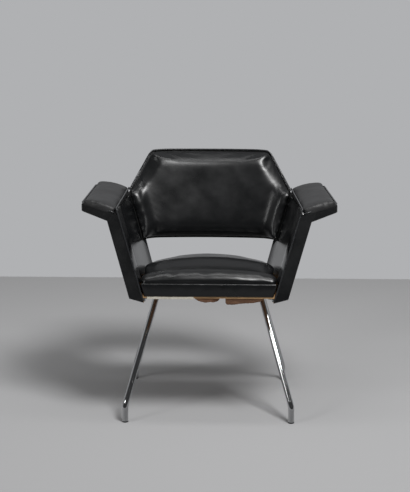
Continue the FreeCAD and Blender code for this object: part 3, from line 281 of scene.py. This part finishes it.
def chrome():
    # chromium plate on drawn steel tube: a mirror with a fine haze, pitted with rust in scattered patches
    material, tree = newMaterial("pittedChrome")
    place = addNode(tree, "ShaderNodeTexCoord").outputs["Object"]
    pits = addNode(
        tree, "ShaderNodeTexNoise", {"Scale": 260.0, "Detail": 4.0, "Roughness": 0.7}, {"Vector": place},
    )
    clouds = addNode(tree, "ShaderNodeTexNoise", {"Scale": 22.0, "Detail": 2.0}, {"Vector": place})
    pitMask = addNode(tree, "ShaderNodeMapRange", {1: 0.60, 2: 0.72}, {0: pits.outputs[0]})
    cloudMask = addNode(tree, "ShaderNodeMapRange", {1: 0.45, 2: 0.7}, {0: clouds.outputs[0]})
    rustMask = addNode(
        tree, "ShaderNodeMath", {"operation": "MULTIPLY"}, {0: pitMask.outputs[0], 1: cloudMask.outputs[0]},
    )
    color = blendColors(tree, "#c4c5c6", "#4e3423", rustMask.outputs[0])
    haze = addNode(tree, "ShaderNodeMapRange", {3: 0.07, 4: 0.6}, {0: rustMask.outputs[0]})
    metal = addNode(tree, "ShaderNodeMapRange", {3: 1.0, 4: 0.1}, {0: rustMask.outputs[0]})
    shader = addNode(
        tree, "ShaderNodeBsdfPrincipled",
        links={"Base Color": color, "Roughness": haze.outputs[0], "Metallic": metal.outputs[0]},
    )
    addNode(tree, "ShaderNodeOutputMaterial", links={0: shader.outputs[0]})
    return material


def grainedWood(name, look):
    # bare wood: long streaks along one axis, with a faint figure
    material, tree = newMaterial(name)
    place = addNode(tree, "ShaderNodeTexCoord").outputs["Object"]
    along = addNode(tree, "ShaderNodeMapping", {"Scale": look["stretch"]}, {"Vector": place})
    streaks = addNode(
        tree, "ShaderNodeTexNoise", {"Scale": 90.0, "Detail": 6.0, "Distortion": 0.4},
        {"Vector": along.outputs[0]},
    )
    figure = addNode(
        tree, "ShaderNodeTexWave", {"Scale": 9.0, "Distortion": 7.0, "Detail": 3.0},
        {"Vector": along.outputs[0]},
    )
    both = addNode(
        tree, "ShaderNodeMath", {"operation": "MULTIPLY_ADD", 1: 0.3},
        {0: figure.outputs[1], 2: streaks.outputs[0]},
    )
    color = blendColors(tree, look["dark"], look["pale"], both.outputs[0])
    bump = addNode(
        tree, "ShaderNodeBump", {"Strength": 0.2, "Distance": 0.0004}, {"Height": streaks.outputs[0]},
    )
    shader = addNode(
        tree, "ShaderNodeBsdfPrincipled", {"Roughness": 0.62, "IOR": 1.5},
        {"Base Color": color, "Normal": bump.outputs[0]},
    )
    addNode(tree, "ShaderNodeOutputMaterial", links={0: shader.outputs[0]})
    return material


def speckled(name, look):
    # a plain stuff with a fine broken surface: foam, card, paint, plated steel or moulded rubber
    material, tree = newMaterial(name)
    place = addNode(tree, "ShaderNodeTexCoord").outputs["Object"]
    grit = addNode(tree, "ShaderNodeTexNoise", {"Scale": 1 / look["grit"], "Detail": 4.0}, {"Vector": place})
    blotches = addNode(tree, "ShaderNodeTexNoise", {"Scale": 30.0, "Detail": 3.0}, {"Vector": place})
    blend = addNode(
        tree, "ShaderNodeMath", {"operation": "MULTIPLY"}, {0: grit.outputs[0], 1: blotches.outputs[0]},
    )
    wide = addNode(tree, "ShaderNodeMapRange", {1: 0.1, 2: 0.45}, {0: blend.outputs[0]})
    color = blendColors(tree, look["dark"], look["pale"], wide.outputs[0])
    bump = addNode(
        tree, "ShaderNodeBump", {"Strength": 0.4, "Distance": look["depth"]}, {"Height": grit.outputs[0]},
    )
    gloss = addNode(
        tree, "ShaderNodeMapRange", {3: look["rough"], 4: look["rough"] * 0.8}, {0: blotches.outputs[0]},
    )
    shader = addNode(
        tree, "ShaderNodeBsdfPrincipled", {"Metallic": look["metal"]},
        {"Base Color": color, "Roughness": gloss.outputs[0], "Normal": bump.outputs[0]},
    )
    addNode(tree, "ShaderNodeOutputMaterial", links={0: shader.outputs[0]})
    return material


def coarseCloth():
    # plain-woven dust cover, stained and gone brown; 1 mm threads are drawn at 2 mm so that they show
    material, tree = newMaterial("stainedCloth")
    place = addNode(tree, "ShaderNodeTexCoord").outputs["Object"]
    warp, weft = (
        addNode(
            tree, "ShaderNodeTexWave", {"bands_direction": direction, "Scale": 80.0, "Distortion": 0.8},
            {"Vector": place},
        )
        for direction in ("X", "DIAGONAL")
    )
    weave = addNode(tree, "ShaderNodeMath", {"operation": "ADD"}, {0: warp.outputs[1], 1: weft.outputs[1]})
    stains = addNode(tree, "ShaderNodeTexNoise", {"Scale": 16.0, "Detail": 4.0}, {"Vector": place})
    stained = addNode(tree, "ShaderNodeMapRange", {1: 0.35, 2: 0.65}, {0: stains.outputs[0]})
    color = blendColors(tree, "#6f5140", "#94715a", stained.outputs[0])
    bump = addNode(
        tree, "ShaderNodeBump", {"Strength": 0.5, "Distance": 0.0006}, {"Height": weave.outputs[0]},
    )
    shader = addNode(
        tree, "ShaderNodeBsdfPrincipled", {"Roughness": 0.9, "Specular IOR Level": 0.2},
        {"Base Color": color, "Normal": bump.outputs[0]},
    )
    addNode(tree, "ShaderNodeOutputMaterial", links={0: shader.outputs[0]})
    return material


slotMaterials = {
    "outer_vinyl": outerVinyl, "inner_vinyl": bolsterVinyl, "facing_vinyl": facingVinyl,
    "arm_vinyl": armVinyl, "seat_vinyl": seatVinyl, "piping": pipingVinyl,
    "chrome_tube": chrome(),
    "dust_cloth": coarseCloth(),
    # the shell plywood is given a near-black colour as painted shade, so that its edges render dark where
    # they show in the gaps between pads and covers
    "shell_plywood": grainedWood(
        "gapShadePaintedPlywood", {"dark": "#0a0a0a", "pale": "#161616", "stretch": (1, 1, 0.08)},
    ),
    "hardwood": grainedWood("bareBeech", {"dark": "#8f6640", "pale": "#bb9266", "stretch": (1, 0.08, 1)}),
    "plywood": grainedWood("seatPlywood", {"dark": "#8a6a48", "pale": "#b8956a", "stretch": (0.08, 1, 1)}),
    "foam": speckled("agedLatexFoam", {
        "dark": "#b39a5c", "pale": "#d8c48c", "grit": 0.004, "depth": 0.001, "rough": 0.95, "metal": 0.0,
    }),
    "steel": speckled("zincPlatedSteel", {
        "dark": "#8f9294", "pale": "#b4b7b9", "grit": 0.003, "depth": 0.0002, "rough": 0.38, "metal": 1.0,
    }),
    "plate_steel": speckled("blackedSteel", {
        "dark": "#1c1c1d", "pale": "#37342f", "grit": 0.003, "depth": 0.0003, "rough": 0.5, "metal": 0.0,
    }),
    "card": speckled("tackingCard", {
        "dark": "#a8a294", "pale": "#dcd8cc", "grit": 0.005, "depth": 0.0008, "rough": 0.9, "metal": 0.0,
    }),
    "glide_rubber": speckled("mouldedRubber", {
        "dark": "#121213", "pale": "#232324", "grit": 0.003, "depth": 0.0004, "rough": 0.6, "metal": 0.0,
    }),
}
slotOf = {part["node"]: part["material_slot"] for part in frame["record"]["subparts"]}
for nodeName, node in nodes.items():
    for materialSlot in node.material_slots:
        materialSlot.material = slotMaterials[slotOf[nodeName]]
print("materials made")


def mergedCopy(nodeName, pieceName):
    shape = shapeOf(nodes[nodeName].data)
    bmesh.ops.remove_doubles(shape, verts=shape.verts, dist=mergeDistance["cad"])
    bmesh.ops.recalc_face_normals(shape, faces=shape.faces)
    return addPiece(pieceName, meshOf(shape, pieceName))


def applyModifiers(piece):
    evaluated = piece.evaluated_get(bpy.context.evaluated_depsgraph_get())
    baked = bpy.data.meshes.new_from_object(evaluated)
    piece.modifiers.clear()
    piece.data = baked


remeshSmoothing = 2
pressureFrames = 20


def remeshed(piece, voxel):
    remesh = piece.modifiers.new("remesh", "REMESH")
    remesh.mode = "VOXEL"
    remesh.voxel_size = voxel
    remesh.use_smooth_shade = True
    applyModifiers(piece)
    shape = shapeOf(piece.data)
    smoothPoints(shape, shape.verts, remeshSmoothing)
    writeShape(shape, piece.data)


def puffed(piece, freedom, settings):
    # swells the pad under pressure; freedom gives, for a point and its normal, how far it may move
    mesh = piece.data
    starts = [vertex.co.copy() for vertex in mesh.vertices]
    limits = [freedom(vertex.co, vertex.normal) for vertex in mesh.vertices]
    for vertex, start, limit in zip(mesh.vertices, starts, limits):
        vertex.co = start + vertex.normal * (settings["margin"] * min(limit / settings["cap"], 1))
    held = piece.vertex_groups.new(name="held")
    for index, limit in enumerate(limits):
        if limit <= 0:
            held.add([index], 1.0, "REPLACE")
    cloth = piece.modifiers.new("pressure", "CLOTH")
    cloth.settings.use_pressure = True
    cloth.settings.uniform_pressure_force = settings["pressure"]
    cloth.settings.effector_weights.gravity = 0
    cloth.settings.vertex_group_mass = "held"
    cloth.point_cache.frame_start = 1
    cloth.point_cache.frame_end = pressureFrames
    for turn in range(1, pressureFrames + 1):
        scene.frame_set(turn)
    applyModifiers(piece)
    piece.vertex_groups.clear()
    scene.frame_set(1)
    for vertex, start, limit in zip(piece.data.vertices, starts, limits):
        move = vertex.co - start
        if move.length > 0 and limit > 0:
            vertex.co = start + move.normalized() * limit * math.tanh(move.length / limit)
        elif limit <= 0:
            vertex.co = start
    shape = shapeOf(piece.data)
    smoothPoints(shape, shape.verts, settings["smoothing"])
    writeShape(shape, piece.data)


def finishPiece(piece, material, replacedNodes, subdivisions=0):
    piece.data.materials.clear()
    piece.data.materials.append(material)
    for polygon in piece.data.polygons:
        polygon.use_smooth = True
    if subdivisions:
        finer = piece.modifiers.new("finer", "SUBSURF")
        finer.levels = subdivisions
        finer.render_levels = subdivisions
    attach(piece, "root")
    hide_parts(*replacedNodes)


def mirroredPiece(piece, name):
    shape = shapeOf(piece.data)
    bmesh.ops.scale(shape, verts=shape.verts, vec=(-1, 1, 1))
    bmesh.ops.reverse_faces(shape, faces=shape.faces)
    return addPiece(name, meshOf(shape, name))


def bell(distance, width):
    return math.exp(-(distance / width) ** 2)


def dentAt(place, pad):
    # wide dents, with finer ones of half their depth
    wide = noise.noise(place * pad["dentScale"] + Vector(pad["dentShift"]))
    return wide + 0.5 * noise.noise(place * pad["fineDentScale"])


seat = {
    "voxel": 0.006, "margin": 0.0018, "cap": 0.006, "pressure": 4.0, "smoothing": 3,
    "seamHeight": 0.4235, "seamDepth": 0.0014, "seamWidth": 0.004, "restHeight": 0.394,
    "sideCap": 0.003, "frontShare": 0.5,
    "dents": 0.0004, "dentScale": 16, "fineDentScale": 37, "dentShift": (0, 0, 0),
}


def seatFreedom(point, normal):
    if point.z < seat["restHeight"]:
        return 0.0
    sideways = abs(normal.x) + seat["frontShare"] * abs(normal.y)
    return seat["cap"] + (seat["sideCap"] - seat["cap"]) * min(sideways, 1)


seatCushion = mergedCopy("seat_foam", "seatCushion")
remeshed(seatCushion, seat["voxel"])
puffed(seatCushion, seatFreedom, seat)
for vertex in seatCushion.data.vertices:
    if vertex.co.z > seat["restHeight"]:
        side = Vector((vertex.normal.x, vertex.normal.y, 0))
        seam = bell(vertex.co.z - seat["seamHeight"], seat["seamWidth"]) * side.length
        vertex.co -= side * (seat["seamDepth"] * seam)
        top = max(vertex.normal.z, 0)
        vertex.co.z += dentAt(vertex.co, seat) * seat["dents"] * top
finishPiece(seatCushion, seatVinyl, ["seat_foam", "seat_cover"], 1)
print("seat cushion padded")


frontBorder = {
    "halfWidth": 0.1862, "topHalfWidth": 0.1962, "low": 0.3862, "high": 0.4222, "front": -0.2598,
    "bulge": 0.0022, "bulgePower": 0.7,
    "ripple": 0.0009, "rippleScale": 9, "rippleRise": 1.2, "rippleStart": 3.1,
    "edge": 0.0016, "edgeFade": 0.02, "thickness": 0.0018, "columns": 96, "rows": 14,
}
shape = bmesh.new()
bmesh.ops.create_grid(shape, x_segments=frontBorder["columns"], y_segments=frontBorder["rows"], size=0.5)
for vertex in shape.verts:
    across, up = vertex.co.x * 2, vertex.co.y + 0.5
    width = frontBorder["halfWidth"] + (frontBorder["topHalfWidth"] - frontBorder["halfWidth"]) * up
    swell = frontBorder["bulge"] * math.sin(math.pi * up) ** frontBorder["bulgePower"]
    ripplePlace = Vector((
        across * frontBorder["rippleScale"], up * frontBorder["rippleRise"], frontBorder["rippleStart"],
    ))
    ripple = frontBorder["ripple"] * noise.noise(ripplePlace)
    edge = frontBorder["edge"] * bell(1 - abs(across), frontBorder["edgeFade"])
    vertex.co = Vector((
        across * width, frontBorder["front"] - swell - ripple + edge,
        frontBorder["low"] + (frontBorder["high"] - frontBorder["low"]) * up,
    ))
bmesh.ops.reverse_faces(shape, faces=shape.faces)
bmesh.ops.solidify(shape, geom=shape.faces[:], thickness=frontBorder["thickness"])
bmesh.ops.recalc_face_normals(shape, faces=shape.faces)
seatFrontBorder = addPiece("seatFrontBorder", meshOf(shape, "seatFrontBorder"))
finishPiece(seatFrontBorder, seatVinyl, ["seat_cover"])
print("seat border made")


backPad = {
    "voxel": 0.006, "margin": 0.002, "cap": 0.005, "pressure": 4.0, "smoothing": 1,
    "dents": 0.0005, "dentScale": 15, "fineDentScale": 34, "dentShift": (3, 0, 0), "rim": 0.016, "easing": 24,
    # parts of a normal, by which a face counts as rear, front or side
    "rearFacing": 0.35, "frontFacing": 0.25, "sideFacing": 0.5,
}


def backFreedom(point, normal):
    # the rear face lies on the wood
    return 0.0 if normal.y > backPad["rearFacing"] else backPad["cap"]


def facesAhead(normal):
    upright = abs(normal.y) < backPad["frontFacing"] and abs(normal.x) < backPad["sideFacing"]
    return normal.y < -backPad["frontFacing"] or upright


backCushion = mergedCopy("back_foam", "backCushion")
remeshed(backCushion, backPad["voxel"])
shape = shapeOf(backCushion.data)
shape.normal_update()
rearHeights = [vertex.co.z for vertex in shape.verts if vertex.normal.y > backPad["rearFacing"]]
lowest, highest = min(rearHeights) + backPad["rim"], max(rearHeights) - backPad["rim"]
middle = [vertex for vertex in shape.verts if facesAhead(vertex.normal) and lowest < vertex.co.z < highest]
smoothPoints(shape, middle, backPad["easing"])
writeShape(shape, backCushion.data)
puffed(backCushion, backFreedom, backPad)
for vertex in backCushion.data.vertices:
    ahead = max(-vertex.normal.y, 0)
    vertex.co -= vertex.normal * (dentAt(vertex.co, backPad) * backPad["dents"] * ahead)
finishPiece(backCushion, backVinyl, ["back_foam", "back_pad_cover"], 1)
print("back cushion padded")


armPad = {
    "voxel": 0.005, "margin": 0.002, "cap": 0.004, "pressure": 3.0, "smoothing": 1,
    "undersideFacing": 0.5, "innerFacing": 0.6, "innerCap": 0.002,
}


def armFreedom(point, normal):
    # the underside lies on the wing, and the inner face on the bolster
    if normal.z < -armPad["undersideFacing"]:
        return 0.0
    if normal.x < -armPad["innerFacing"]:
        return armPad["innerCap"]
    return armPad["cap"]


rightArmPad = mergedCopy("armrest_foam_right", "rightArmPad")
remeshed(rightArmPad, armPad["voxel"])
puffed(rightArmPad, armFreedom, armPad)
leftArmPad = mirroredPiece(rightArmPad, "leftArmPad")
finishPiece(rightArmPad, armVinyl, ["armrest_foam_right", "armrest_cover_right"], 1)
finishPiece(leftArmPad, armVinyl, ["armrest_foam_left", "armrest_cover_left"], 1)


bolster = {
    "voxel": 0.005, "margin": 0.0014, "cap": 0.003, "pressure": 3.0, "smoothing": 1, "innerFacing": 0.6,
}


def bolsterFreedom(point, normal):
    # only the inner face may swell
    return bolster["cap"] if normal.x < -bolster["innerFacing"] else 0.0


rightBolster = mergedCopy("side_foam_right", "rightBolster")
remeshed(rightBolster, bolster["voxel"])
puffed(rightBolster, bolsterFreedom, bolster)
leftBolster = mirroredPiece(rightBolster, "leftBolster")
finishPiece(rightBolster, bolsterVinyl, ["side_foam_right", "bolster_cover_right"], 1)
finishPiece(leftBolster, bolsterVinyl, ["side_foam_left", "bolster_cover_left"], 1)
print("arm pads and bolsters padded")


cover = {
    "flat": 0.5, "sharp": 32, "segments": 3,  # degrees, degrees and number
    "outerEdge": 0.0007, "liningEdge": 0.0006, "facingEdge": 0.0009,
}


def easedCover(nodeName, pieceName, edge, material):
    piece = mergedCopy(nodeName, pieceName)
    shape = shapeOf(piece.data)
    bmesh.ops.dissolve_limit(
        shape, angle_limit=math.radians(cover["flat"]), verts=shape.verts, edges=shape.edges,
        delimit={"NORMAL"},
    )
    writeShape(shape, piece.data)
    finishPiece(piece, material, [nodeName])
    bevel = piece.modifiers.new("easedEdges", "BEVEL")
    bevel.width = edge
    bevel.segments = cover["segments"]
    bevel.limit_method = "ANGLE"
    bevel.angle_limit = math.radians(cover["sharp"])
    bevel.use_clamp_overlap = True
    bevel.harden_normals = False
    piece.data.set_sharp_from_angle(angle=math.radians(cover["sharp"]))


for hand in ("right", "left"):
    easedCover("side_cover_" + hand, hand + "SideCover", cover["outerEdge"], outerVinyl)
    easedCover("side_lining_" + hand, hand + "SideLining", cover["liningEdge"], bolsterVinyl)
    easedCover("front_facing_" + hand, hand + "FrontFacing", cover["facingEdge"], facingVinyl)
easedCover("back_cover", "backOutsideCover", cover["outerEdge"], outerVinyl)
print("covers eased")


piping = {"radius": 0.0024, "sides": 6, "steps": 10, "order": 3, "waver": 0.00022, "waverScale": 90}


def pipingPiece(name, route, replacedNode):
    curve = bpy.data.curves.new(name, "CURVE")
    curve.dimensions = "3D"
    curve.resolution_u = piping["steps"]
    curve.bevel_depth = piping["radius"]
    curve.bevel_resolution = piping["sides"]
    curve.use_fill_caps = True
    spline = curve.splines.new("NURBS")
    spline.points.add(len(route) - 1)
    for point, place in zip(spline.points, route):
        point.co = (*place, 1)
    spline.order_u = piping["order"]
    spline.use_endpoint_u = True
    holder = addPiece(name + "Line", curve)
    mesh = bpy.data.meshes.new_from_object(holder.evaluated_get(bpy.context.evaluated_depsgraph_get()))
    bpy.data.objects.remove(holder)
    shape = shapeOf(mesh)
    bmesh.ops.remove_doubles(shape, verts=shape.verts, dist=mergeDistance["piping"])
    bmesh.ops.recalc_face_normals(shape, faces=shape.faces)
    for vertex in shape.verts:
        vertex.co += vertex.normal * (piping["waver"] * noise.noise(vertex.co * piping["waverScale"]))
    writeShape(shape, mesh)
    piece = addPiece(name, mesh)
    finishPiece(piece, pipingVinyl, [replacedNode])


def otherSide(route):
    return [(-x, y, z) for x, y, z in route]


sideRoute = [
    (0.18833, -0.26608, 0.372), (0.2645, -0.23194, 0.6262), (0.26737, -0.23066, 0.63574),
    (0.26712, -0.2207, 0.63624), (0.25746, 0.1246, 0.65374),
]
armRoute = [
    (0.27237, -0.23369, 0.62413), (0.35109, -0.20658, 0.64243), (0.35703, -0.20453, 0.64381),
    (0.36903, -0.18571, 0.64752), (0.36881, -0.1779, 0.64792), (0.36086, 0.105, 0.66223),
    (0.36066, 0.113, 0.66265), (0.34655, 0.127, 0.66043), (0.3387, 0.127, 0.6587), (0.26256, 0.127, 0.64246),
]
halfBackRoute = [
    (0.25925, 0.16704, 0.64168), (0.25408, 0.16869, 0.651), (0.243, 0.19418, 0.671),
    (0.2308, 0.20961, 0.693), (0.21972, 0.21811, 0.713), (0.20863, 0.22567, 0.733),
    (0.19842, 0.232, 0.7516), (0.18976, 0.23597, 0.7606), (0.1823, 0.23811, 0.7638),
    (0.14763, 0.24328, 0.7656), (0.10421, 0.24835, 0.7656), (0.05211, 0.25211, 0.7656),
]
backRoute = halfBackRoute + [(0.0, 0.25337, 0.7656)] + otherSide(halfBackRoute)[::-1]
pipingPiece("rightSidePiping", sideRoute, "side_piping_right")
pipingPiece("leftSidePiping", otherSide(sideRoute), "side_piping_left")
pipingPiece("rightArmPiping", armRoute, "armrest_piping_right")
pipingPiece("leftArmPiping", otherSide(armRoute), "armrest_piping_left")
pipingPiece("backPiping", backRoute, "back_piping")
print("piping laid")


dustCover = {
    "front": -0.256, "rear": 0.110, "frontHalf": 0.187, "rearHalf": 0.1645, "height": 0.3794, "sag": 0.003,
    "thickness": 0.0007, "lean": 0.35, "rows": 90, "columns": 132,
    # how far the torn edge hangs below the board, as pairs of place across and drop
    "tear": (
        (-0.188, 0.0), (-0.042, 0.0), (-0.030, 0.0085), (-0.010, 0.0145), (0.004, 0.0115), (0.014, 0.0135),
        (0.027, 0.0085), (0.032, 0.0), (0.046, 0.0), (0.047, 0.011), (0.052, 0.0205), (0.066, 0.0215),
        (0.086, 0.0185), (0.106, 0.0165), (0.130, 0.0145), (0.152, 0.0095), (0.158, 0.0), (0.188, 0.0),
    ),
    "longest": 0.024, "leastDrop": 0.0004, "hang": 0.93,
    "fray": 0.0009, "frayScale": 260, "frayStart": 0.3,
    "wave": 0.0022, "waveScale": 45, "waveRise": 60, "waveStart": 1.7, "waveFade": 0.008,
    # where the cloth sags clear of the board: how far back, and how far out to the sides
    "sagDepth": 0.09, "sagDepthFade": 0.04, "edgeFade": 0.012, "sagHalf": 0.13, "sagHalfFade": 0.02,
    "sagScale": 22, "sagLevel": 0.6, "sagSwing": 0.4,
}


def tornDrop(across):
    for (before, dropBefore), (after, dropAfter) in zip(dustCover["tear"], dustCover["tear"][1:]):
        if before <= across <= after:
            share = (across - before) / (after - before)
            frays = 0
            if dropBefore + dropAfter > 0:
                frayPlace = Vector((across * dustCover["frayScale"], dustCover["frayStart"], 0))
                frays = dustCover["fray"] * noise.noise(frayPlace)
            return dropBefore + (dropAfter - dropBefore) * share + frays
    return 0.0


def sagAt(across, run):
    inDepth = bell(max(run - dustCover["sagDepth"], 0), dustCover["sagDepthFade"])
    offEdge = 1 - bell(run, dustCover["edgeFade"])
    inWidth = bell(max(abs(across) - dustCover["sagHalf"], 0), dustCover["sagHalfFade"])
    place = Vector((across * dustCover["sagScale"], run * dustCover["sagScale"], 0))
    uneven = dustCover["sagLevel"] + dustCover["sagSwing"] * noise.noise(place)
    return dustCover["sag"] * (inDepth * offEdge * inWidth) * uneven


shape = bmesh.new()
bmesh.ops.create_grid(shape, x_segments=dustCover["columns"], y_segments=dustCover["rows"], size=0.5)
boardDepth = dustCover["rear"] - dustCover["front"]
halfTaper = dustCover["rearHalf"] - dustCover["frontHalf"]
depth = boardDepth + dustCover["longest"]
doomed = []
for vertex in shape.verts:
    run = (vertex.co.y + 0.5) * depth - dustCover["longest"]
    across = vertex.co.x * 2 * (dustCover["frontHalf"] + halfTaper * (max(run, 0) / boardDepth))
    if run >= 0:
        vertex.co = Vector((across, dustCover["front"] + run, dustCover["height"] - sagAt(across, run)))
        continue
    torn = tornDrop(across)
    drop = torn * -run / dustCover["longest"]
    if torn < dustCover["leastDrop"]:
        doomed.append(vertex)
    wavePlace = Vector((
        across * dustCover["waveScale"], drop * dustCover["waveRise"], dustCover["waveStart"],
    ))
    wave = dustCover["wave"] * noise.noise(wavePlace) * min(drop / dustCover["waveFade"], 1)
    vertex.co = Vector((
        across, dustCover["front"] + drop * dustCover["lean"] + wave,
        dustCover["height"] - drop * dustCover["hang"],
    ))
bmesh.ops.delete(shape, geom=doomed, context="VERTS")
bmesh.ops.remove_doubles(shape, verts=shape.verts, dist=mergeDistance["cloth"])
bmesh.ops.recalc_face_normals(shape, faces=shape.faces)
flatArea = sum(face.calc_area() for face in shape.faces)
tornDustCover = addPiece("tornDustCover", meshOf(shape, "tornDustCover"))
finishPiece(tornDustCover, slotMaterials["dust_cloth"], ["dust_cover"])
thickness = tornDustCover.modifiers.new("thickness", "SOLIDIFY")
thickness.thickness = dustCover["thickness"]
thickness.offset = 0
print("dust cover torn, area", round(flatArea, 4))


print("scene finished")
